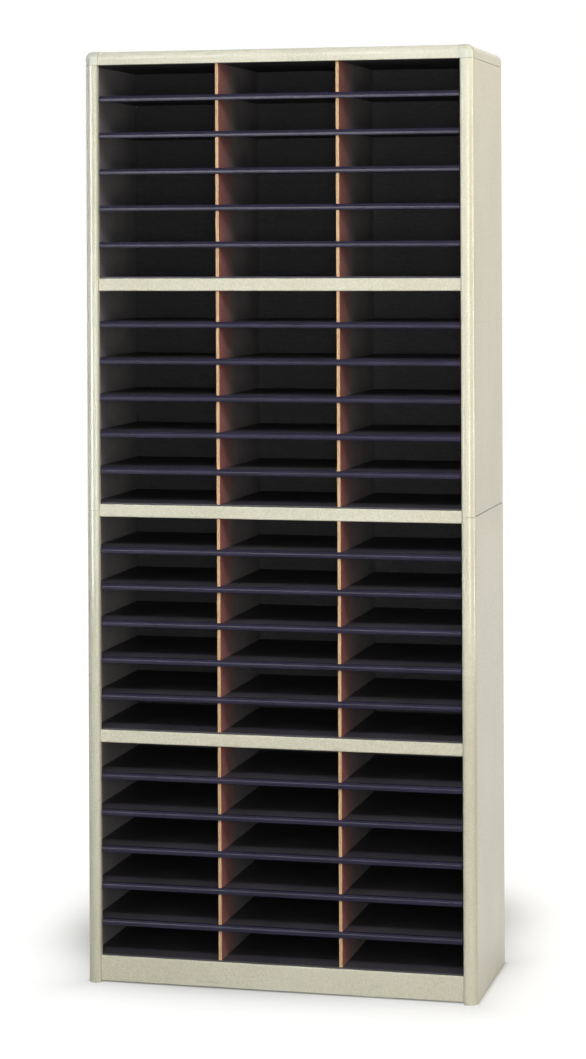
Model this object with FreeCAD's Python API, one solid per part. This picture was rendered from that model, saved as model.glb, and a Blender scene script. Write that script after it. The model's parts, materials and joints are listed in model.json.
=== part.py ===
"""Pigeonhole mail sorter: a tall steel case holding four crates of hardboard pigeonholes.

Millimetres, +Z up, front towards -Y. The origin is on the floor, under the centre of the case.
Every piece is its own solid. Repeated loose pieces that share a node stay separate solids.
"""
import FreeCAD, Part
import math
import os
from FreeCAD import Vector

# ---- overall size -------------------------------------------------------------------------
overall_width = 806.4
overall_depth = 342.9
overall_height = 1905.0

# ---- how the case is divided --------------------------------------------------------------
columns = 3
sections = 4
shelves_per_section = 5

# ---- sheet steel --------------------------------------------------------------------------
sheet = 1.2
bend_radius = 1.2
nose_outer_radius = 16.0
nose_inner_radius = 8.0
nose_flat = 3.0
nose_return = 16.0
rear_flange = 18.0
foot_flange = 15.0
rail_height = 25.4
kick_height = 54.6
kick_floor_gap = 3.0
face_setback = 8.5
hem_depth = 7.0
shelf_end_gap = 0.4
header_height = 28.2
header_lip = 14.0
nose_seam_gap = 0.6
side_seam_gap = 2.8
skirt_gap = 0.8
skirt_rest = 12.0

# ---- top corner caps ----------------------------------------------------------------------
cap_overlap = 1.5
cap_proud = 1.0
cap_wall = 2.4
cap_edge_step = 0.5
cap_seam = 1.0
cap_foot_gap = 0.6
cap_foot = 5.0
cap_tongue = 10.0
cap_tongue_thickness = 2.0
cap_tongue_gap = 0.2
lower_edge_round = 0.9

# ---- hardboard ----------------------------------------------------------------------------
liner_thickness = 6.4
divider_thickness = 6.4
shelf_board_thickness = 4.0
panel_board_thickness = 3.2
board_gap = 0.4
groove_depth = 3.4
groove_engagement = 3.0
slot_gap = 0.4
behind_nose_gap = 1.0
liner_nose_gap = 2.0
crate_back_gap = 3.0
back_floor_gap = 10.0
back_joint_gap = 1.0
back_overlap = 12.0

# ---- shelf moulding -----------------------------------------------------------------------
moulding_height = 12.0
moulding_thickness = 4.0
moulding_leg = 1.0
moulding_grip = 8.0
moulding_end_gap = 2.5
moulding_edge_round = 0.6
moulding_face_radius = 30.0
moulding_face_lean = 10.5
moulding_brow_radius = 8.0
moulding_brow_lean = 32.0
moulding_gap = 0.5
leg_gap = 0.2

# ---- screws -------------------------------------------------------------------------------
screw_head_radius = 3.8
screw_head_height = 2.0
screw_shank_radius = 1.7
screw_tip = 1.1
screw_pilot_gap = 0.05
screw_clearance = 0.4
screw_slot_width = 1.2
screw_slot_depth = 1.0
screws_per_section = 2
screws_per_rail = 3
screw_end_distance = 70.0

# ---- worked out from the sizes above ------------------------------------------------------
half_width = overall_width / 2
front = -overall_depth / 2
back = overall_depth / 2 - screw_head_height
seat = overall_height - header_height
nose_width = nose_outer_radius + nose_flat + nose_inner_radius
outer_bend = bend_radius + sheet
rail_count = sections - 1
section_height = (seat - kick_height - rail_count * rail_height) / sections
opening_height = (section_height - shelves_per_section * moulding_height) / (shelves_per_section + 1)
clear_half_width = half_width - nose_width
column_pitch = 2 * clear_half_width / columns
rail_face = front + face_setback
lip_back = front + nose_return
board_back = back - sheet
board_front = board_back - panel_board_thickness
crate_back = board_front - crate_back_gap
crate_half_width = half_width - sheet - board_gap
liner_face = crate_half_width - liner_thickness
liner_front = lip_back + liner_nose_gap
moulding_back = rail_face + moulding_thickness
divider_front = moulding_back + moulding_gap
lap_line = (divider_front + crate_back) / 2
cap_size = nose_width + cap_overlap
cap_edge_radius = nose_outer_radius - cap_edge_step


def section_bottom(section):
    """Height of the steel under a section. Section 1 is the top one."""
    below = sections - section
    return kick_height + below * (section_height + rail_height)


def section_top(section):
    """Height of the lower edge of the rail or header over a section."""
    return section_bottom(section) + section_height


def moulding_bottom(section, row):
    """Height of the lower edge of a shelf's moulding. Row 1 is a section's top shelf."""
    below = shelves_per_section - row
    return section_bottom(section) + (below + 1) * opening_height + below * moulding_height


def divider_positions():
    """Places of the dividers across the case."""
    return [-clear_half_width + column_pitch * k for k in range(1, columns)]


def block(x0, x1, y0, y1, z0, z1):
    """A box between two corners."""
    return Part.makeBox(x1 - x0, y1 - y0, z1 - z0, Vector(x0, y0, z0))


def mirrored(shape):
    """The same piece for the other side of the case."""
    return shape.mirror(Vector(0, 0, 0), Vector(1, 0, 0))


def fused(shapes):
    """One solid from pieces of the same sheet or moulding."""
    return shapes[0].fuse(shapes[1:]).removeSplitter()


def unit(start, end):
    """Direction from one point to the next."""
    step = end - start
    step.normalize()
    return step


def rounded_path(corners, radii):
    """Edges of an open path of straight runs, with square bends rounded to the given radii."""
    edges = []
    start = corners[0]
    for index, radius in enumerate(radii):
        corner = corners[index + 1]
        back_step = unit(corner, corners[index])
        next_step = unit(corner, corners[index + 2])
        arc_start = corner + back_step * radius
        arc_end = corner + next_step * radius
        centre = arc_start + next_step * radius
        arc_middle = centre - (back_step + next_step) * (radius / 2 ** 0.5)
        edges.append(Part.LineSegment(start, arc_start).toShape())
        edges.append(Part.Arc(arc_start, arc_middle, arc_end).toShape())
        start = arc_end
    edges.append(Part.LineSegment(start, corners[-1]).toShape())
    return edges


def bent_sheet(corners, radii, extrusion):
    """Sheet bent square at each inner corner. corners and radii are those of its outer face."""
    inner = [corners[0] + unit(corners[1], corners[2]) * sheet]
    for index in range(1, len(corners) - 1):
        back_step = unit(corners[index], corners[index - 1])
        next_step = unit(corners[index], corners[index + 1])
        inner.append(corners[index] + (back_step + next_step) * sheet)
    inner.append(corners[-1] + unit(corners[-2], corners[-3]) * sheet)
    outer_edges = rounded_path(corners, radii)
    inner_edges = rounded_path(inner, [radius - sheet for radius in radii])
    start_edge = Part.LineSegment(corners[0], inner[0]).toShape()
    end_edge = Part.LineSegment(corners[-1], inner[-1]).toShape()
    outline = Part.Wire(Part.__sortEdges__(outer_edges + [end_edge] + inner_edges + [start_edge]))
    return Part.Face(outline).extrude(extrusion)


# ---- screws and their holes ---------------------------------------------------------------
def rod(radius, x, z, y0, y1):
    """A round bar that runs from front to back."""
    return Part.makeCylinder(radius, y1 - y0, Vector(x, y0, z), Vector(0, 1, 0))


def screw_row(start, end, count):
    """Places of a row of screws, evenly spaced and well clear of the row's ends."""
    first = start + screw_end_distance
    step = (end - start - 2 * screw_end_distance) / (count - 1)
    return [first + step * k for k in range(count)]


seam_height = section_top(3) + rail_height / 2
flange_screw_x = half_width - rear_flange / 2
across = screw_row(rear_flange - half_width, half_width - rear_flange, screws_per_rail)
rail_screw_heights = [section_top(4) + rail_height / 2, section_top(2) + rail_height / 2]
joint_screw_heights = [seam_height - rail_height / 4, seam_height + rail_height / 4]
base_screw_height = kick_height - rail_height / 2
header_screw_height = seat + back_overlap / 2


def flange_screws():
    """Screws whose heads bear on the steel at the very back."""
    places = [(x, header_screw_height) for x in across]
    for section in range(1, sections + 1):
        for z in screw_row(section_bottom(section), section_top(section), screws_per_section):
            places += [(-flange_screw_x, z), (flange_screw_x, z)]
    return places


def rail_screws():
    """Screws whose heads bear on a back board and that hold in a steel shelf behind it."""
    heights = rail_screw_heights + joint_screw_heights + [base_screw_height]
    return [(x, z) for z in heights for x in across]


def drilled(shape, places, radius):
    """The piece with a hole through it, from front to back, at each place that it covers."""
    box = shape.BoundBox
    tools = []
    for x, z in places:
        if box.XMin < x < box.XMax and box.ZMin < z < box.ZMax:
            tools.append(rod(radius, x, z, board_front - crate_back_gap, overall_depth / 2))
    return shape.cut(tools) if tools else shape


def screw(x, z, seat_y):
    """Domed slotted screw, driven in from the back, its head on the face at seat_y."""
    tip_y = seat_y - sheet - panel_board_thickness - screw_tip
    shank = rod(screw_shank_radius, x, z, tip_y, seat_y)
    head = rod(screw_head_radius, x, z, seat_y, seat_y + screw_head_height)
    rim = [edge for edge in head.Edges if edge.Length > screw_head_radius and edge.BoundBox.YMin > seat_y]
    head = head.makeFillet(screw_head_height / 2, rim)
    slot_floor = seat_y + screw_head_height - screw_slot_depth
    slot = block(
        x - screw_head_radius,
        x + screw_head_radius,
        slot_floor,
        seat_y + screw_head_height,
        z - screw_slot_width / 2,
        z + screw_slot_width / 2,
    )
    return shank.fuse(head).cut(slot)


# ---- sheet steel pieces -------------------------------------------------------------------
def side_profile(z0, z1):
    """Left side: a rounded nose in front, a flat side, and a flange across the back."""
    corners = [
        Vector(-clear_half_width, lip_back, z0),
        Vector(-clear_half_width, front, z0),
        Vector(-half_width, front, z0),
        Vector(-half_width, back, z0),
        Vector(-half_width + rear_flange, back, z0),
    ]
    return bent_sheet(corners, [nose_inner_radius, nose_outer_radius, outer_bend], Vector(0, 0, z1 - z0))


def lower_side_panel():
    """Lower left side, with a flange to stand on."""
    foot = block(
        -half_width + sheet / 2,
        -half_width + foot_flange,
        lip_back,
        back - rear_flange,
        0,
        sheet,
    )
    panel = fused([side_profile(0, seam_height), foot])
    return drilled(panel, flange_screws(), screw_shank_radius + screw_clearance)


def upper_side_panel():
    """Upper left side. Behind the nose its lower edge leaves a wider seam."""
    panel = side_profile(seam_height + nose_seam_gap, seat)
    relief = block(
        -half_width,
        -half_width + rear_flange,
        front + nose_outer_radius,
        back,
        seam_height,
        seam_height + side_seam_gap,
    )
    return drilled(panel.cut(relief), flange_screws(), screw_shank_radius + screw_clearance)


def steel_shelf(top, face_height):
    """Steel shelf between the sides. Its front face drops by face_height and turns in at the foot."""
    bottom = top - face_height
    face_half_width = clear_half_width - shelf_end_gap
    deck_front = lip_back + behind_nose_gap
    deck_half_width = half_width - sheet
    deck_back = board_front
    face_corners = [
        Vector(-face_half_width, deck_front + sheet, top),
        Vector(-face_half_width, rail_face, top),
        Vector(-face_half_width, rail_face, bottom),
        Vector(-face_half_width, rail_face + hem_depth, bottom),
    ]
    face = bent_sheet(face_corners, [outer_bend, outer_bend], Vector(2 * face_half_width, 0, 0))
    deck = block(-deck_half_width, deck_half_width, deck_front, deck_back, top - sheet, top)
    flange_bottom = top - rail_height
    rear = block(-deck_half_width, deck_half_width, deck_back - sheet, deck_back, flange_bottom, top)
    left_end = block(
        -deck_half_width,
        -deck_half_width + sheet,
        deck_front,
        deck_back,
        flange_bottom,
        top,
    )
    shelf = fused([deck, face, rear, left_end, mirrored(left_end)])
    return drilled(shelf, rail_screws(), screw_shank_radius + screw_pilot_gap)


def rounded_lid(inset, front_y, back_y, bottom, top, edge_radius):
    """Solid block for the top: round in plan at its front corners, soft along three top edges."""
    half = half_width - inset
    lid = block(-half, half, front_y, back_y, bottom, top)
    uprights = [
        edge
        for edge in lid.Edges
        if edge.BoundBox.ZLength > (top - bottom) / 2 and edge.BoundBox.YMax < front_y + sheet
    ]
    lid = lid.makeFillet(nose_outer_radius - inset, uprights)
    soft = [
        edge
        for edge in lid.Edges
        if edge.BoundBox.ZMin > top - sheet / 2 and edge.BoundBox.YMin < back_y - sheet
    ]
    return lid.makeFillet(edge_radius, soft)


def corner_block(size, lift):
    """Space of the left front corner of the top, from a height above the sides."""
    return block(-half_width, -half_width + size, front, front + size, seat + lift, overall_height)


def top_pan():
    """Pressed steel top with a front face, two side faces and a rear face.

    The side faces rest at their two ends and leave a thin dark line between.
    """
    skin_top = overall_height - cap_proud
    skin_front = front + cap_proud
    skin_edge = cap_edge_radius - cap_proud
    outer = rounded_lid(0, skin_front, back, seat, skin_top, skin_edge)
    lower_edges = [edge for edge in outer.Edges if edge.BoundBox.ZMax < seat + sheet / 2]
    outer = outer.makeFillet(lower_edge_round, lower_edges)
    hollow = rounded_lid(
        sheet,
        skin_front + sheet,
        back - sheet,
        seat - sheet,
        skin_top - sheet,
        skin_edge - sheet,
    )
    lip = block(
        -half_width + cap_size,
        half_width - cap_size,
        skin_front + lower_edge_round,
        skin_front + header_lip,
        seat,
        seat + sheet,
    )
    corner = corner_block(cap_size + cap_seam, -sheet)
    skirt = block(
        -half_width,
        -half_width + cap_wall,
        front + cap_size + cap_seam + skirt_rest / 2,
        back - skirt_rest,
        seat,
        seat + skirt_gap,
    )
    pan = fused([outer.cut(hollow), lip]).cut([corner, mirrored(corner), skirt, mirrored(skirt)])
    return drilled(pan, flange_screws(), screw_shank_radius + screw_clearance)


def corner_cap():
    """Left front corner of the top: a moulded shell on two feet, its tongue tucked under the steel."""
    outer = rounded_lid(0, front, back, seat, overall_height, cap_edge_radius)
    lower_edges = [edge for edge in outer.Edges if edge.BoundBox.ZMax < seat + sheet / 2]
    outer = outer.makeFillet(lower_edge_round, lower_edges)
    hollow = rounded_lid(
        cap_wall,
        front + cap_wall,
        back,
        seat - sheet,
        overall_height - cap_wall,
        cap_edge_radius - cap_wall,
    )
    foot_line = block(
        -half_width,
        -half_width + cap_size - cap_foot,
        front,
        front + cap_size - cap_foot,
        seat,
        seat + cap_foot_gap,
    )
    shell = outer.cut(hollow).common(corner_block(cap_size, 0)).cut(foot_line)
    outer_step = sheet + cap_tongue_gap
    inner_step = outer_step + cap_tongue_thickness
    tongue_layers = [
        rounded_lid(
            step,
            front + cap_proud + step,
            back,
            seat - sheet,
            overall_height - cap_proud - step,
            cap_edge_radius - cap_proud - step,
        )
        for step in (outer_step, inner_step)
    ]
    tongue_space = corner_block(cap_size + cap_tongue, sheet + cap_tongue_gap)
    tongue = tongue_layers[0].cut(tongue_layers[1]).common(tongue_space)
    return fused([shell, tongue])


# ---- hardboard pieces ---------------------------------------------------------------------
def stepped_board(half, front_half, main_front, front_edge, z0, thickness):
    """Flat board, full width behind the noses and narrower between them."""
    main = block(-half, half, main_front, crate_back, z0, z0 + thickness)
    tongue = block(-front_half, front_half, front_edge, main_front, z0, z0 + thickness)
    return fused([main, tongue])


def shelf_board(section, row):
    """Loose shelf. Slots in its back edge straddle the dividers, and its ends sit in grooves."""
    top = moulding_bottom(section, row) + moulding_height - moulding_leg
    board = stepped_board(
        liner_face + groove_engagement,
        clear_half_width - moulding_end_gap,
        liner_front,
        moulding_back,
        top - shelf_board_thickness,
        shelf_board_thickness,
    )
    half_slot = divider_thickness / 2 + slot_gap / 2
    slots = [
        block(x - half_slot, x + half_slot, lap_line, crate_back, top - moulding_height, top + moulding_height)
        for x in divider_positions()
    ]
    return board.cut(slots)


def shelf_moulding(section, row):
    """Extruded trim along a shelf's front edge: a grip for the board behind a crowned face.

    The face stands upright at its foot and rolls back, slowly at first and then quickly, to its brow.
    """
    z0 = moulding_bottom(section, row)
    half = clear_half_width - moulding_end_gap
    top = moulding_height
    board_top = top - moulding_leg
    board_bottom = board_top - shelf_board_thickness
    grip = moulding_thickness + moulding_grip
    soft = moulding_edge_round
    shoulder_rise = top - soft

    def on_arc(centre, radius, degrees):
        tilt = math.radians(degrees)
        return centre[0] - radius * math.cos(tilt), centre[1] + radius * math.sin(tilt)

    def place(corner):
        return Vector(-half, rail_face + corner[0], z0 + corner[1])

    def arc(centre, radius, start, end):
        angles = (start, (start + end) / 2, end)
        return Part.Arc(*[place(on_arc(centre, radius, angle)) for angle in angles]).toShape()

    face_centre = (moulding_face_radius, soft)
    brow_centre = on_arc(face_centre, moulding_face_radius - moulding_brow_radius, moulding_face_lean)
    brow = on_arc(brow_centre, moulding_brow_radius, moulding_brow_lean)
    shoulder = brow[0] + (shoulder_rise - brow[1]) * math.tan(math.radians(moulding_brow_lean))
    corners = [
        brow,
        (shoulder, shoulder_rise),
        (shoulder + soft, top),
        (grip, top),
        (grip, board_top),
        (moulding_thickness, board_top),
        (moulding_thickness, board_bottom),
        (grip, board_bottom),
        (grip, board_bottom - moulding_leg),
        (moulding_thickness, board_bottom - moulding_leg),
        (moulding_thickness, 0),
        (soft, 0),
        (0, soft),
    ]
    edges = Part.makePolygon([place(corner) for corner in corners]).Edges
    edges.append(arc(face_centre, moulding_face_radius, 0, moulding_face_lean))
    edges.append(arc(brow_centre, moulding_brow_radius, moulding_face_lean, moulding_brow_lean))
    outline = Part.Wire(Part.__sortEdges__(edges))
    return Part.Face(outline).extrude(Vector(2 * half, 0, 0))


def divider(section, x):
    """Upright board. Slots in its front edge take the shelves and the trim on them."""
    half = divider_thickness / 2
    floor = section_bottom(section) + panel_board_thickness
    board = block(x - half, x + half, divider_front, crate_back, floor, section_top(section))
    mouth_back = moulding_back + moulding_grip + slot_gap
    tools = []
    for row in range(1, shelves_per_section + 1):
        trim_top = moulding_bottom(section, row) + moulding_height
        board_top = trim_top - moulding_leg
        board_bottom = board_top - shelf_board_thickness
        mouth_bottom = board_bottom - moulding_leg
        tools.append(
            block(x - half, x + half, divider_front, mouth_back, mouth_bottom, trim_top + leg_gap)
        )
        tools.append(
            block(x - half, x + half, mouth_back, lap_line, board_bottom, board_top + leg_gap)
        )
    return board.cut(tools)


def side_liner(section):
    """Left wall of a section, grooved for the ends of the shelves."""
    floor = section_bottom(section) + panel_board_thickness
    liner = block(-crate_half_width, -liner_face, liner_front, crate_back, floor, section_top(section))
    tools = []
    for row in range(1, shelves_per_section + 1):
        board_top = moulding_bottom(section, row) + moulding_height - moulding_leg
        tools.append(
            block(
                -liner_face - groove_depth,
                -liner_face,
                liner_front,
                crate_back,
                board_top - shelf_board_thickness,
                board_top + leg_gap,
            )
        )
    return liner.cut(tools)


def floor_board(section):
    """Board that lies on the steel under a section."""
    return stepped_board(
        crate_half_width,
        clear_half_width - moulding_end_gap,
        lip_back + behind_nose_gap,
        divider_front,
        section_bottom(section),
        panel_board_thickness,
    )


def ceiling_board(section):
    """Board that closes a section on top, resting on its walls and dividers."""
    return stepped_board(
        half_width - sheet - cap_tongue_gap - cap_tongue_thickness - board_gap,
        clear_half_width - moulding_end_gap,
        liner_front,
        rail_face + hem_depth + behind_nose_gap,
        section_top(section),
        panel_board_thickness,
    )


def back_board(z0, z1):
    """Back panel, held against the rear flanges of the sides."""
    half = half_width - outer_bend - board_gap
    board = block(-half, half, board_front, board_back, z0, z1)
    board = drilled(board, flange_screws(), screw_shank_radius + screw_pilot_gap)
    return drilled(board, rail_screws(), screw_shank_radius + screw_clearance)


# ---- the whole sorter ---------------------------------------------------------------------
def build_parts():
    """Every node by name."""
    parts = {}
    lower_side = lower_side_panel()
    upper_side = upper_side_panel()
    cap = corner_cap()
    parts["lower_left_side_panel"] = lower_side
    parts["lower_right_side_panel"] = mirrored(lower_side)
    parts["upper_left_side_panel"] = upper_side
    parts["upper_right_side_panel"] = mirrored(upper_side)
    parts["top_pan"] = top_pan()
    parts["left_corner_cap"] = cap
    parts["right_corner_cap"] = mirrored(cap)
    parts["base_steel_shelf"] = steel_shelf(section_bottom(4), kick_height - kick_floor_gap)
    parts["lower_steel_shelf"] = steel_shelf(section_bottom(3), rail_height)
    parts["joining_steel_shelf"] = steel_shelf(section_bottom(2), rail_height)
    parts["upper_steel_shelf"] = steel_shelf(section_bottom(1), rail_height)
    parts["lower_back_board"] = back_board(back_floor_gap, seam_height - back_joint_gap / 2)
    parts["upper_back_board"] = back_board(seam_height + back_joint_gap / 2, seat + back_overlap)
    liners = []
    boards = []
    for section in range(1, sections + 1):
        dividers = [divider(section, x) for x in divider_positions()]
        parts["dividers_section_%d" % section] = Part.makeCompound(dividers)
        liners += [side_liner(section), mirrored(side_liner(section))]
        boards += [floor_board(section), ceiling_board(section)]
        for row in range(1, shelves_per_section + 1):
            parts["shelf_board_%d_%d" % (section, row)] = shelf_board(section, row)
            parts["shelf_moulding_%d_%d" % (section, row)] = shelf_moulding(section, row)
    parts["side_liners"] = Part.makeCompound(liners)
    parts["floor_and_ceiling_boards"] = Part.makeCompound(boards)
    screws = [screw(x, z, back) for x, z in flange_screws()]
    screws += [screw(x, z, board_back) for x, z in rail_screws()]
    parts["back_screws"] = Part.makeCompound(screws)
    return parts


def main():
    os.makedirs("parts", exist_ok=True)
    for node, shape in build_parts().items():
        shape.exportStep("parts/%s.step" % node)
        print("%-28s %2d solids  %9.1f cm3" % (node, len(shape.Solids), shape.Volume / 1000))


main()
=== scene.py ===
# %% [markdown]
# # Dressing a pigeonhole mail sorter
#
# The sorter is a tall sheet steel case with dark hardboard shelves and dividers inside. Its shapes
# come from a CAD model, which is loaded here as a fixed frame. What is left to do is what a paint
# shop, a board mill and a studio would do: finish each surface, then stage and light it.

# %% Load the sorter
import json
import math

import bmesh
import bpy
from mathutils import Matrix, Vector

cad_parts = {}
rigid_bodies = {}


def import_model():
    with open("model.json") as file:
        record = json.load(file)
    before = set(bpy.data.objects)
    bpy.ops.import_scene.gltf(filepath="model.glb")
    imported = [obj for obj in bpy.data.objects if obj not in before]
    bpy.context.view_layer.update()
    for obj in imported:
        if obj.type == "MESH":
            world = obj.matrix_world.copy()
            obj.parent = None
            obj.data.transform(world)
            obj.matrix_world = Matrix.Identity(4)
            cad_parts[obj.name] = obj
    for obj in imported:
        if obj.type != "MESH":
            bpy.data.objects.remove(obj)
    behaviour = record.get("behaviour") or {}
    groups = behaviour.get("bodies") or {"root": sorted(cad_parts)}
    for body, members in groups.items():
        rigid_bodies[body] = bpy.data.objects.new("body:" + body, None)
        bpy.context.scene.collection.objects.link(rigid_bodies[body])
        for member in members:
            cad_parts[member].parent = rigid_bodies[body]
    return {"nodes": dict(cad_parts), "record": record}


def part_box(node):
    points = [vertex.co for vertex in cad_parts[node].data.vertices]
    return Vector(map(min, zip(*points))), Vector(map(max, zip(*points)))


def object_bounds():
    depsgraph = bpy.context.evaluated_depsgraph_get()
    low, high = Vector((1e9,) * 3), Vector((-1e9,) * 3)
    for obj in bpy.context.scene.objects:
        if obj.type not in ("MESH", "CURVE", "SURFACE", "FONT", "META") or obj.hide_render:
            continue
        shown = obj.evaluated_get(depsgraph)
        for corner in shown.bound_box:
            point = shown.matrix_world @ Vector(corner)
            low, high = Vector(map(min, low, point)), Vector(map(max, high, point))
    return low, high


for leftover in list(bpy.data.objects):
    bpy.data.objects.remove(leftover)

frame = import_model()
nodes = frame["nodes"]
cad_low, cad_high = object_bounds()
print("nodes:", len(nodes), " size:", [round(v, 4) for v in cad_high - cad_low])

# %% [markdown]
# ## The camera
#
# A tall cabinet looks wrong when its uprights lean together. A view camera avoids that: it stays
# level and lowers its lens against the film instead of tilting. Blender's shift does the same. The
# camera stands to the right of the case, at a height between its middle and its top, far enough away
# for a long lens.

# %% Set up a level camera with a shifted frame
FRAME_HEIGHT = 1059  # pixels
FOCAL_PIXELS = 2802.8
HORIZON_ROW = 242.8  # pixels below the top of the frame
SENSOR_SIZE = 36.0  # millimetres
CLIP_END = 100  # metres
CAMERA_PLACE = Vector((1.3814, -5.6407, 1.5119))
CAMERA_TURN = 0.2412  # radians
CAMERA_ROLL = -0.0043  # radians

lens = bpy.data.cameras.new("studio_camera")
lens.sensor_width = SENSOR_SIZE
lens.lens = FOCAL_PIXELS / FRAME_HEIGHT * SENSOR_SIZE
lens.shift_y = (HORIZON_ROW - FRAME_HEIGHT / 2) / FRAME_HEIGHT
lens.clip_end = CLIP_END

camera = bpy.data.objects.new("studio_camera", lens)
bpy.context.scene.collection.objects.link(camera)
turn = Matrix.Rotation(CAMERA_TURN, 4, "Z")
level = Matrix.Rotation(math.radians(90), 4, "X")
roll = Matrix.Rotation(CAMERA_ROLL, 4, "Z")
camera.matrix_world = Matrix.Translation(CAMERA_PLACE) @ turn @ level @ roll
bpy.context.scene.camera = camera
print("lens: %.1f mm, shift: %.3f" % (lens.lens, lens.shift_y))

# %% [markdown]
# ## Writing shader maths as expressions
#
# A procedural finish is a small graph of nodes, and wiring it by hand buries the idea. Here a Field
# wraps one socket, and Python's own operators on it add Math nodes: | takes the larger of two, and
# exp is for a glow that fades. A Graph is one node tree. Its node method makes any other node: first
# the settings, then the sockets. A Finish is a Graph that ends in a material.

# %% Field: a value that varies over a surface
class Field:
    def __init__(self, graph, socket):
        self.graph = graph
        self.socket = socket

    def _math(self, operation, *terms):
        return self.graph.node("ShaderNodeMath", {"operation": operation}, dict(enumerate(terms)))

    def __add__(self, other):
        return self._math("ADD", self, other)

    def __sub__(self, other):
        return self._math("SUBTRACT", self, other)

    def __rsub__(self, other):
        return self._math("SUBTRACT", other, self)

    def __mul__(self, other):
        return self._math("MULTIPLY", self, other)

    def __truediv__(self, other):
        return self._math("DIVIDE", self, other)

    def __pow__(self, other):
        return self._math("POWER", self, other)

    def __or__(self, other):
        return self._math("MAXIMUM", self, other)

    def __abs__(self):
        return self._math("ABSOLUTE", self)

    def exp(self):
        return self._math("EXPONENT", self)

    __radd__ = __add__
    __rmul__ = __mul__


def weigh(first, second, share):
    """Two fields in one: the first with its share, and the second with the rest."""
    return first * share + second * (1 - share)


# %% Graph: a node tree under construction
class Graph:
    def __init__(self, tree):
        self.tree = tree
        self.tree.nodes.clear()

    def feed(self, socket, value):
        if isinstance(value, Field):
            self.tree.links.new(value.socket, socket)
        else:
            socket.default_value = value

    def node(self, kind, settings=None, sockets=None, output=0):
        made = self.tree.nodes.new(kind)
        for name, value in (settings or {}).items():
            setattr(made, name, value)
        for name, value in (sockets or {}).items():
            self.feed(made.inputs[name], value)
        return Field(self, made.outputs[output]) if made.outputs else None

    def vector_math(self, operation, *terms, output=0):
        settings = {"operation": operation}
        return self.node("ShaderNodeVectorMath", settings, dict(enumerate(terms)), output)

    def seen_directly(self):
        """1 for a ray from the camera, a mirror or glass, and 0 for light that spreads."""
        from_camera = self.node("ShaderNodeLightPath", output="Is Camera Ray")
        from_mirror = self.node("ShaderNodeLightPath", output="Is Glossy Ray")
        from_glass = self.node("ShaderNodeLightPath", output="Is Transmission Ray")
        return from_camera | from_mirror | from_glass


# %% Finish: a material under construction
X, Y, Z = 0, 1, 2


class Finish(Graph):
    def __init__(self, name):
        self.material = bpy.data.materials.new(name)
        self.material.use_nodes = True
        super().__init__(self.material.node_tree)
        self.shader = self.node("ShaderNodeBsdfPrincipled")
        self.node("ShaderNodeOutputMaterial", sockets={"Surface": self.shader})
        self.place = self.node("ShaderNodeTexCoord", output="Object")

    def set(self, **values):
        for name, value in values.items():
            self.feed(self.shader.socket.node.inputs[name.replace("_", " ")], value)

    def along(self, axis):
        return self.node("ShaderNodeSeparateXYZ", sockets={"Vector": self.place}, output=axis)

    def stretched(self, x=1.0, y=1.0, z=1.0):
        sockets = {"Vector": self.place, "Scale": (x, y, z)}
        return self.node("ShaderNodeMapping", sockets=sockets)

    def noise(self, per_metre, detail=2.0, place=None):
        sockets = {"Vector": place or self.place, "Scale": per_metre, "Detail": detail}
        return self.node("ShaderNodeTexNoise", sockets=sockets)

    def step(self, value, start, end):
        """0 up to the start, 1 past the end, and a smooth slope between."""
        settings = {"interpolation_type": "SMOOTHSTEP"}
        sockets = {"Value": value, "From Min": start, "From Max": end}
        return self.node("ShaderNodeMapRange", settings, sockets)

    def blend(self, mask, first, second):
        sockets = {0: mask, 6: first, 7: second}
        return self.node("ShaderNodeMix", {"data_type": "RGBA"}, sockets, output=2)

    def two_tone(self, value, deep, pale, softness):
        """Two tones of one colour, which meet where a noise crosses its middle of 0.5."""
        return self.blend(self.step(value, 0.5 - softness, 0.5 + softness), deep, pale)

    def bump(self, height, distance, strength):
        sockets = {"Height": height, "Distance": distance, "Strength": strength}
        self.set(Normal=self.node("ShaderNodeBump", sockets=sockets))


def shade(red, green, blue):
    """A screen colour from 0 to 255 as the linear colour that a shader wants."""
    linear = []
    for value in (red / 255, green / 255, blue / 255):
        linear.append(value / 12.92 if value <= 0.04045 else ((value + 0.055) / 1.055) ** 2.4)
    return (*linear, 1.0)


WHITE = shade(255, 255, 255)
print("helpers ready, white is", WHITE)

# %% [markdown]
# ## Baked sand enamel
#
# The case is dipped, painted and baked. Such enamel has an even gloss, flows out with a faint orange
# peel a few millimetres across, and carries a fine grain. A flat colour would look like plastic, so
# three sizes of noise are layered: broad drifts of tone, grain, and the peel, which is only relief.
# Shoes and mops have left faint scuffs near the floor. A low index of refraction keeps the white room
# from washing out the colour. The ends of the steel shelf at the joint of the two halves, where the
# halves clamp it, are painted near black as painted shade, so that the seam between them shows as a
# dark line.

# %% Sand enamel on the steel
SAND_DEEP = shade(210, 205, 180)
SAND_PALE = shade(226, 222, 200)
SCUFFED_PAINT = shade(178, 172, 150)
SEAM_SHADE = shade(30, 28, 24)
ENAMEL_IOR = 1.3
DRIFTS_PER_METRE = 3.0
GRAINS_PER_METRE = 420.0
PEELS_PER_METRE = 260.0
SCUFFS_PER_METRE = 60.0
SCUFF_HEIGHT = 0.06  # metres above the floor
SCUFF_START = 0.62
SCUFF_FULL = 0.75
SCUFF_SHARE = 0.5
MASK_EDGE = 0.0004
SEAM_SHADE_WIDTH = 0.0015


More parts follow.
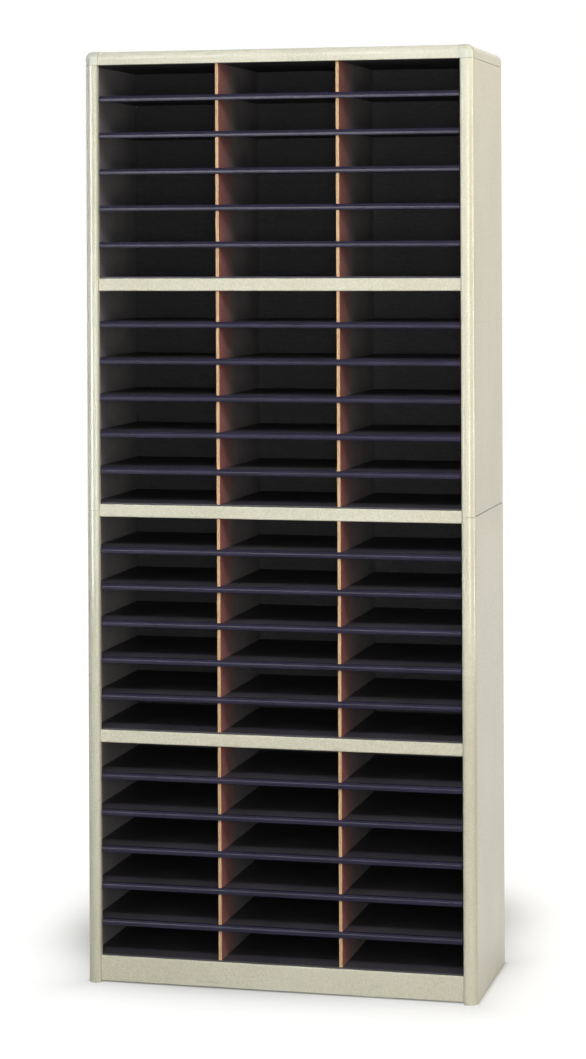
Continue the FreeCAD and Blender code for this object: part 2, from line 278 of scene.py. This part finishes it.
def sand_enamel(name, shade_past=None):
    finish = Finish(name)
    drift = finish.noise(DRIFTS_PER_METRE, detail=3.0)
    grain = finish.noise(GRAINS_PER_METRE)
    peel = finish.noise(PEELS_PER_METRE)
    dragged = finish.stretched(x=0.15, y=0.15)
    scuff = finish.noise(SCUFFS_PER_METRE, detail=6.0, place=dragged)
    near_floor = 1 - finish.step(finish.along(Z), 0.0, SCUFF_HEIGHT)
    wear = finish.step(scuff, SCUFF_START, SCUFF_FULL) * near_floor * SCUFF_SHARE
    paint = finish.two_tone(weigh(drift, grain, 0.4), SAND_DEEP, SAND_PALE, softness=0.12)
    paint = finish.blend(wear, paint, SCUFFED_PAINT)
    # painted shade: near black at the shelf's ends, standing in for the shadow in the seam's gap
    if shade_past:
        seam_shade_mask = finish.step(abs(finish.along(X)), shade_past - MASK_EDGE, shade_past)
        paint = finish.blend(seam_shade_mask, paint, SEAM_SHADE)
    finish.set(Base_Color=paint, Roughness=0.1 + drift * 0.06, IOR=ENAMEL_IOR)
    finish.bump(peel, distance=0.00012, strength=0.3)
    return finish.material


enamel = sand_enamel("sand_enamel")
joint_enamel = sand_enamel("sand_enamel_seam_shaded_ends", cad_high.x - SEAM_SHADE_WIDTH)
print("made", enamel.name, "and", joint_enamel.name)

# %% [markdown]
# ## Moulded corner caps
#
# The two rounded top corners are plastic, a shade cooler than the paint. Moulded parts have a fine
# spark-eroded pebble instead of orange peel, and a little more gloss on their crests.

# %% Cap plastic
CAP_DEEP = shade(209, 209, 191)
CAP_PALE = shade(219, 219, 202)
CAP_IOR = 1.36
PEBBLES_PER_METRE = 1400.0
CAP_CLOUDS_PER_METRE = 30.0


def cap_plastic():
    finish = Finish("cap_plastic_pebbled")
    sockets = {"Vector": finish.place, "Scale": PEBBLES_PER_METRE}
    pebble = finish.node("ShaderNodeTexVoronoi", sockets=sockets)
    cloud = finish.noise(CAP_CLOUDS_PER_METRE, detail=3.0)
    tint = finish.two_tone(cloud, CAP_DEEP, CAP_PALE, softness=0.2)
    finish.set(Base_Color=tint, Roughness=0.42 - pebble * 0.08, IOR=CAP_IOR)
    finish.bump(pebble, distance=0.00008, strength=0.4)
    return finish.material


caps = cap_plastic()
print("made", caps.name)

# %% [markdown]
# ## Dark hardboard
#
# Hardboard is pressed wood fibre. Its smooth face shows short fibres lying every way, and here it is
# stained nearly black. Two noises, each stretched a different way, cross like fibres do. The same
# recipe serves shelves, floors and walls, with other colours. The walls are painted paler near the
# front, as painted light where the lamps reach into the slots.

# %% Fibres of pressed board
BOARD_IOR = 1.33
FIBRES_PER_METRE = 700.0
LIT_FRONT_START = 0.01  # metres behind the front
LIT_FRONT_WANDER = 0.05


def fibres(finish):
    lengthwise = finish.noise(FIBRES_PER_METRE, detail=3.0, place=finish.stretched(x=0.12))
    crosswise = finish.noise(FIBRES_PER_METRE, detail=3.0, place=finish.stretched(y=0.12, z=0.3))
    return weigh(lengthwise, crosswise, 0.5)


def past_lit_front(finish, cloud, front, rub_end):
    """0 at the front of a board, where light is painted on, and 1 past that."""
    return finish.step(finish.along(Y) + cloud * LIT_FRONT_WANDER, front + LIT_FRONT_START, front + rub_end)


print("fibres per metre:", FIBRES_PER_METRE)

# %% Shelf boards and wall boards
SHELF_DEEP = shade(52, 50, 54)
SHELF_PALE = shade(72, 69, 73)
WALL_DEEP = shade(130, 128, 130)
WALL_PALE = shade(152, 150, 153)
# painted light: a pale colour for the walls near the front, where the lamps reach into the slots
WALL_LIT_FRONT = shade(238, 202, 220)
WALL_LIT_END = 0.15  # metres behind the front
BOARD_CLOUDS_PER_METRE = 9.0


def dark_board(name, deep, pale, roughness, lit_front_colour=None):
    finish = Finish(name)
    felt = fibres(finish)
    cloud = finish.noise(BOARD_CLOUDS_PER_METRE, detail=4.0)
    stain = finish.two_tone(weigh(felt, cloud, 0.6), deep, pale, softness=0.15)
    # painted light: the walls turn pale near the front of the slots
    if lit_front_colour:
        stain = finish.blend(past_lit_front(finish, cloud, cad_low.y, WALL_LIT_END), lit_front_colour, stain)
    finish.set(Base_Color=stain, Roughness=roughness + cloud * 0.12, IOR=BOARD_IOR)
    finish.bump(felt, distance=0.00006, strength=0.5)
    return finish.material


shelf_finish = dark_board("black_hardboard", SHELF_DEEP, SHELF_PALE, 0.42)
liner_finish = dark_board("wall_hardboard", WALL_DEEP, WALL_PALE, 0.46, WALL_LIT_FRONT)
print("made", shelf_finish.name, "and", liner_finish.name)

# %% [markdown]
# ## Dividers with raw front edges
#
# The upright boards carry a thin dark stain. Near the front it gives way to brown, which is painted
# light where the lamps reach into the slots. Their sawn front edges are left raw and show as thin tan
# lines. Both masks are simply how far a point lies from the boards' front, and a cloudy noise makes
# the edge of the painted light uneven.
# Fine layers run up the edge, as the board is pressed in sheets.

# %% Divider board
# painted light: brown for the front of the boards, where the lamps reach in
LIT_BROWN_DEEP = shade(157, 96, 92)
LIT_BROWN_PALE = shade(192, 123, 115)
STAIN_DEEP = shade(116, 114, 116)
STAIN_PALE = shade(138, 135, 138)
RAW_DEEP = shade(186, 146, 104)
RAW_PALE = shade(228, 192, 148)
SAWN_START = 0.0002  # metres behind the front
SAWN_END = 0.0006
DIVIDER_LIT_END = 0.18
DIVIDER_CLOUDS_PER_METRE = 14.0
LAYERS_PER_METRE = 1500.0
NIBS_PER_METRE = 500.0


def divider_board():
    finish = Finish("divider_hardboard")
    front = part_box("dividers_section_1")[0].y
    sawn = 1 - finish.step(finish.along(Y), front + SAWN_START, front + SAWN_END)
    felt = fibres(finish)
    cloud = finish.noise(DIVIDER_CLOUDS_PER_METRE, detail=4.0)
    mottle = weigh(felt, cloud, 0.5)
    brown = finish.two_tone(mottle, LIT_BROWN_DEEP, LIT_BROWN_PALE, softness=0.2)
    stained = finish.two_tone(mottle, STAIN_DEEP, STAIN_PALE, softness=0.2)
    # painted light: brown near the front of the boards, the dark stain further in
    face = finish.blend(past_lit_front(finish, cloud, front, DIVIDER_LIT_END), brown, stained)
    layers = finish.noise(LAYERS_PER_METRE, place=finish.stretched(z=0.03))
    nibs = finish.noise(NIBS_PER_METRE, detail=4.0, place=finish.stretched(z=0.3))
    raw = finish.two_tone(weigh(layers, nibs, 0.6), RAW_DEEP, RAW_PALE, softness=0.2)
    finish.set(Base_Color=finish.blend(sawn, face, raw))
    finish.set(Roughness=0.5 + sawn * 0.3, IOR=BOARD_IOR)
    finish.bump(felt * (1 - sawn) + layers * sawn, distance=0.0001, strength=0.5)
    return finish.material


divider_finish = divider_board()
print("made", divider_finish.name)

# %% [markdown]
# ## Back panels
#
# The back is hardboard that was pressed on a wire screen. The slots see its smooth dark side, and
# the room behind the case sees the screen's square weave on plain brown board. Two crossed waves
# make that weave, and the board's own depth tells its two sides apart.

# %% Back board
SMOOTH_DEEP = shade(70, 70, 72)
SMOOTH_PALE = shade(88, 88, 90)
SCREEN_DEEP = shade(78, 56, 42)
SCREEN_PALE = shade(118, 88, 66)
WAVE_SCALE = 180.0
WAVE_WOBBLE = 0.6
SIDE_EDGE = 0.0005


def wires(finish, direction):
    settings = {"wave_type": "BANDS", "bands_direction": direction}
    sockets = {"Vector": finish.place, "Scale": WAVE_SCALE, "Distortion": WAVE_WOBBLE}
    return finish.node("ShaderNodeTexWave", settings, sockets)


def back_board():
    finish = Finish("screen_back_hardboard")
    low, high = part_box("lower_back_board")
    middle = (low.y + high.y) / 2
    rear = finish.step(finish.along(Y), middle, middle + SIDE_EDGE)
    screen = wires(finish, "X") * wires(finish, "Z")
    felt = fibres(finish)
    smooth = finish.two_tone(felt, SMOOTH_DEEP, SMOOTH_PALE, softness=0.15)
    rough = finish.blend(weigh(screen, felt, 0.5), SCREEN_DEEP, SCREEN_PALE)
    finish.set(Base_Color=finish.blend(rear, smooth, rough))
    finish.set(Roughness=0.55 + rear * 0.2, IOR=BOARD_IOR)
    finish.bump(screen * rear + felt * 0.3, distance=0.0002, strength=0.5)
    return finish.material


back_finish = back_board()
print("made", back_finish.name)

# %% [markdown]
# ## Shelf trim
#
# Each shelf's front edge is gripped by an extruded strip of dark blue-grey vinyl with a crowned
# face. Extrusion leaves faint lines along the strip, so the noise is stretched along X. The crown
# rolls back to its brow, so somewhere on its height it always mirrors a lamp as a fine line.

# %% Vinyl trim
NAVY_DEEP = shade(28, 25, 43)
NAVY_PALE = shade(40, 36, 59)
VINYL_IOR = 1.25
DRAW_LINES_PER_METRE = 1600.0
VINYL_CLOUDS_PER_METRE = 12.0


def vinyl_trim():
    finish = Finish("navy_vinyl")
    draw_lines = finish.noise(DRAW_LINES_PER_METRE, place=finish.stretched(x=0.01))
    cloud = finish.noise(VINYL_CLOUDS_PER_METRE, detail=3.0)
    tint = finish.two_tone(weigh(draw_lines, cloud, 0.4), NAVY_DEEP, NAVY_PALE, softness=0.2)
    finish.set(Base_Color=tint, Roughness=0.18 + draw_lines * 0.08, IOR=VINYL_IOR)
    finish.bump(draw_lines, distance=0.00005, strength=0.4)
    return finish.material


trim_finish = vinyl_trim()
print("made", trim_finish.name)

# %% [markdown]
# ## Plated screws
#
# The screws at the back are zinc plated steel, a little blotchy and brushed by the tumbling drum.

# %% Zinc plate
ZINC_DEEP = shade(168, 168, 166)
ZINC_PALE = shade(198, 199, 201)
BLOTCHES_PER_METRE = 900.0


def zinc_plate():
    finish = Finish("zinc_plate")
    blotch = finish.noise(BLOTCHES_PER_METRE, detail=3.0)
    tint = finish.two_tone(blotch, ZINC_DEEP, ZINC_PALE, softness=0.15)
    finish.set(Base_Color=tint, Metallic=1.0, Roughness=0.28 + blotch * 0.2)
    finish.bump(blotch, distance=0.00003, strength=0.4)
    return finish.material


screw_finish = zinc_plate()
print("made", screw_finish.name)

# %% [markdown]
# ## Handing out the finishes
#
# The record gives every node a material slot. One dictionary from slot to finish dresses them all.
# Only the shelf at the joint differs, with its ends painted near black as the seam's painted shade.

# %% Dress the nodes
finish_of_slot = {
    "sand_paint": enamel,
    "cap_plastic": caps,
    "shelf_board": shelf_finish,
    "divider_board": divider_finish,
    "liner_board": liner_finish,
    "back_board": back_finish,
    "moulding": trim_finish,
    "screw_steel": screw_finish,
}
for part in frame["record"]["subparts"]:
    for material_slot in nodes[part["node"]].material_slots:
        material_slot.material = finish_of_slot[part["material_slot"]]
nodes["joining_steel_shelf"].material_slots[0].material = joint_enamel

# %% [markdown]
# ## A white studio
#
# The floor is a big disc of grey paper, which takes the soft shadow. A glow that only direct views
# see lifts it to white, a little more far away, where the lamps fade. The glow is cut back in two
# shapes, which paint shadow over the paper's real shadow: a round pool behind the case, and a narrow
# band that hugs its foot. Under the case there is no glow, except in a strip just under its front
# edge, where the glow paints the gap at the kick plate lighter than its shade.
# The world is white to the camera and in reflections, and a much dimmer grey as a source of light.

# %% Distances on the floor
def distance_beyond(finish, centre, half):
    """How far a point of the floor lies outside a rectangle."""
    offset = finish.vector_math("SUBTRACT", finish.place, centre)
    offset = finish.vector_math("ABSOLUTE", offset)
    outside = finish.vector_math("SUBTRACT", offset, half)
    outside = finish.vector_math("MAXIMUM", outside, (0.0, 0.0, 0.0))
    return finish.vector_math("LENGTH", outside, output="Value")


case_half = (cad_high - cad_low) / 2
case_half.z = 0.0
print("the case covers, from its middle:", [round(v, 4) for v in case_half])

# %% Glow of the floor
PAPER_LIFT = 0.855
FAR_LIFT = 0.12
FAR_START = 0.7  # metres from the case
FAR_END = 2.5
POOL_CENTRE = Vector((-0.104, 0.413, 0.0))
POOL_HALF = Vector((0.016, 0.07, 0.0))
POOL_REACH = 0.418
POOL_SHARPNESS = 4
POOL_DEPTH = 1.24
FOOT_REACH = 0.09
FOOT_DEPTH = 0.28
CASE_MARGIN = 0.01
KICK_START = 0.005  # metres behind the case's front
KICK_END = 0.03


def floor_lift(finish):
    """How much glow the paper needs to be white, less a painted shadow in a pool behind the case and
    a band round its foot.
    """
    from_case = distance_beyond(finish, Vector((0.0, 0.0, 0.0)), case_half)
    from_pool = distance_beyond(finish, POOL_CENTRE, POOL_HALF)
    # painted shadow: the glow fades in a band round the case's foot and in a round pool behind it
    foot = (0 - from_case / FOOT_REACH).exp() * FOOT_DEPTH
    pool = (0 - (from_pool / POOL_REACH) ** POOL_SHARPNESS).exp() * POOL_DEPTH
    far = finish.step(from_case, FAR_START, FAR_END) * FAR_LIFT
    return (PAPER_LIFT - pool - foot + far) | 0.0


def outside_case(finish):
    """0 under the case and 1 around it, where the 1 reaches a little under the front edge to paint
    light into the gap at the kick plate.
    """
    x, y = abs(finish.along(X)), finish.along(Y)
    beside = finish.step(x, cad_high.x - CASE_MARGIN, cad_high.x + CASE_MARGIN)
    # painted light: the glow fades out between 5 and 30 mm under the front edge, lighting the shaded
    # gap at the kick plate
    before = 1 - finish.step(y, cad_low.y + KICK_START, cad_low.y + KICK_END)
    behind = finish.step(y, cad_high.y - CASE_MARGIN, cad_high.y + CASE_MARGIN)
    return beside | before | behind


print("glow of the floor:", PAPER_LIFT, "and far away", PAPER_LIFT + FAR_LIFT)

# %% Floor
PAPER = shade(143, 142, 139)
FLOOR_RADIUS = 9.0  # metres
FLOOR_CORNERS = 96


def studio_floor():
    finish = Finish("studio_floor_paper")
    glow = floor_lift(finish) * outside_case(finish) * finish.seen_directly()
    finish.set(Base_Color=PAPER, Roughness=0.9, Specular_IOR_Level=0.1)
    finish.set(Emission_Color=glow, Emission_Strength=1.0)
    return finish.material


disc = bmesh.new()
bmesh.ops.create_circle(disc, cap_ends=True, radius=FLOOR_RADIUS, segments=FLOOR_CORNERS)
floor_mesh = bpy.data.meshes.new("studio_floor")
disc.to_mesh(floor_mesh)
disc.free()
floor = bpy.data.objects.new("studio_floor", floor_mesh)
floor_mesh.materials.append(studio_floor())
bpy.context.scene.collection.objects.link(floor)
print("floor:", FLOOR_RADIUS, "m in radius")

# %% World
WORLD_LIGHT = 0.2

world = bpy.data.worlds.new("studio_world")
world.use_nodes = True
bpy.context.scene.world = world
sky = Graph(world.node_tree)
dim = sky.node("ShaderNodeBackground", sockets={"Color": WHITE, "Strength": WORLD_LIGHT})
bright = sky.node("ShaderNodeBackground", sockets={"Color": WHITE})
both = sky.node("ShaderNodeMixShader", sockets={0: sky.seen_directly(), 1: dim, 2: bright})
sky.node("ShaderNodeOutputWorld", sockets={"Surface": both})
print("world light:", WORLD_LIGHT)

# %% [markdown]
# ## Lamps
#
# A cool key hangs close in front, so the front is brightest near the top and falls off towards the
# foot. So close, its reflection would burn out the paint, so it lights but isn't mirrored. A grid
# narrows its cone, and the top of the case gets only the rim of that cone. Two soft fills stand
# further away. On the right a mild lamp and a warm one behind make the side read as a sandier tone
# than the front. Three lamps keep the left side and the back from going dark, two of them with tight
# grids, so that they spare the floor. The last four work the other way round. They are seen in
# reflections and light nothing: one gives the trims their fine lines, and three draw the lines down
# the rounded noses, as on any polished edge.

# %% A softbox
PLAIN = (1.0, 1.0, 1.0)
COOL = (0.87, 0.91, 1.0)
MILD = (1.0, 0.93, 0.76)
WARM = (1.0, 0.83, 0.36)
AIM_HEIGHT = 1.0
OPEN = 180  # degrees, no grid
GRID = 90
TIGHT_GRID = 60


def softbox(
    name, bearing, reach, height, size, power,
    tint=PLAIN, aim=AIM_HEIGHT, spread=OPEN, lights=True, mirrored=True,
):
    """A lamp round the case: bearing 0 is straight in front, and 90 is off the camera's right."""
    angle = math.radians(bearing)
    place = Vector((reach * math.sin(angle), -reach * math.cos(angle), height))
    light = bpy.data.lights.new(name, "AREA")
    light.shape = "RECTANGLE"
    light.size, light.size_y = size
    light.energy = power
    light.color = tint
    light.spread = math.radians(spread)
    lamp = bpy.data.objects.new(name, light)
    lamp.location = place
    lamp.visible_camera = False
    lamp.visible_diffuse = lights
    lamp.visible_glossy = mirrored
    lamp.rotation_mode = "QUATERNION"
    lamp.rotation_quaternion = (Vector((0.0, 0.0, aim)) - place).to_track_quat("-Z", "Y")
    bpy.context.scene.collection.objects.link(lamp)
    return lamp


print("softboxes aim at", AIM_HEIGHT, "m above the floor")

# %% Lamps that light
# After the name come the bearing in degrees, the reach, height and size in metres, and the watts.
working_lamps = [
    softbox("near_key", 7, 2.6, 2.75, (1.2, 0.6), 17.2, COOL, 0.75, GRID, mirrored=False),
    softbox("front_fill", 14, 5.6, 1.2, (1.2, 1.8), 45),
    softbox("right_fill", 40, 4.2, 1.2, (0.9, 1.6), 16, MILD),
    softbox("right_side", 62, 4.0, 2.5, (0.9, 1.4), 23, MILD),
    softbox("rim", 100, 2.4, 2.9, (0.6, 1.0), 17, WARM),
    softbox("left_side", -100, 3.4, 2.2, (1.0, 1.6), 12),
    softbox("left_rear", -130, 3.4, 1.2, (1.0, 1.8), 8, spread=TIGHT_GRID, mirrored=False),
    softbox("rear", 172, 3.0, 1.2, (1.2, 1.8), 7, spread=TIGHT_GRID, mirrored=False),
]
print("lamps that light:", [lamp.name for lamp in working_lamps])

# %% Lamps seen in reflections
glint_lamps = [
    softbox("trim_glint", -15, 5.1, 3.1, (1.7, 0.45), 76, lights=False),
    softbox("left_glint", -36, 3.6, 1.4, (0.5, 2.1), 140, lights=False),
    softbox("right_glint", 38, 5.0, 1.1, (0.9, 2.1), 125, lights=False),
    softbox("rim_glint", 108, 3.0, 1.3, (0.5, 2.2), 90, lights=False),
]
print("lamps in reflections:", [lamp.name for lamp in glint_lamps])

# %% [markdown]
# ## Finish
#
# The view transform is Standard, so a colour renders as it is written.

# %% Set the view transform
bpy.context.scene.view_settings.view_transform = "Standard"
